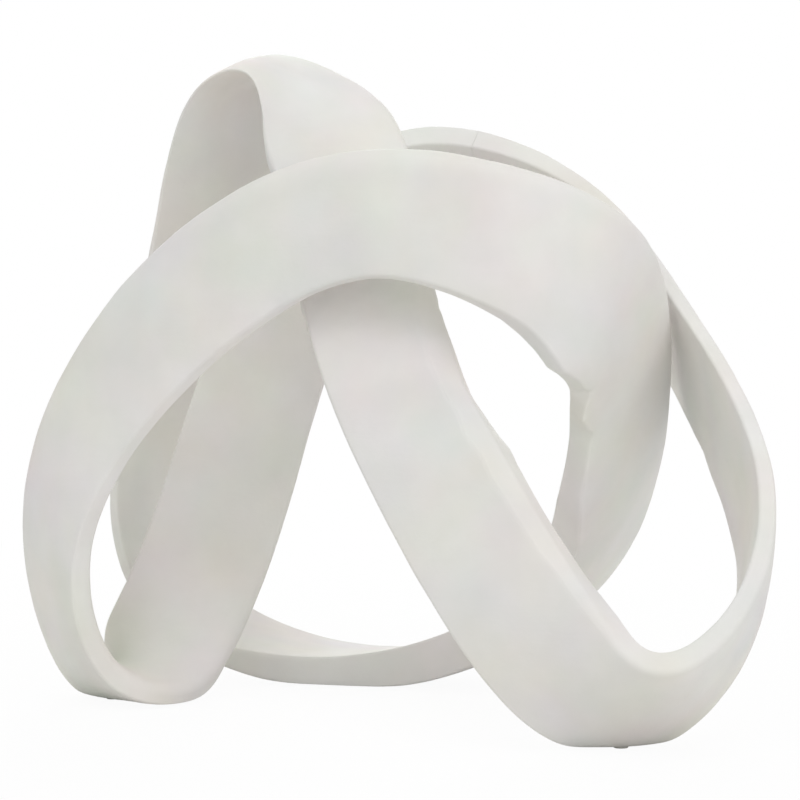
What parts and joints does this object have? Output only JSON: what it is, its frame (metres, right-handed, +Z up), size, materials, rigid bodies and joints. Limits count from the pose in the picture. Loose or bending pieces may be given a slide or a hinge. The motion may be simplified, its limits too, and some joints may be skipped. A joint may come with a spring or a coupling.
{
  "type": "knot sculpture",
  "caption": "Matte white table sculpture: one flat band that climbs three arches and knots through itself, standing on its lowest bends.",
  "frame": {"origin": "on the table, under the middle of the outline", "axes": "+Z up; +X to the right and +Y away as the picture sees the knot, so -Y faces the viewer"},
  "size_m": [0.246, 0.1983, 0.2232],
  "materials": {
    "cast_white": "matte, dry brushed, plaster-like",
    "bond": "dull",
    "steel": "brushed",
    "felt": "felted"
  },
  "bodies": {
    "root": {"band_left": "cast_white", "band_back": "cast_white", "band_right": "cast_white", "felt_left": "felt", "felt_back": "felt", "felt_right": "felt", "bond_low": "bond", "bond_high": "bond", "bond_top": "bond", "pin_low_front": "steel", "pin_low_rear": "steel", "pin_high_front": "steel", "pin_high_rear": "steel", "pin_top_front": "steel", "pin_top_rear": "steel"}
  },
  "joints": []
}
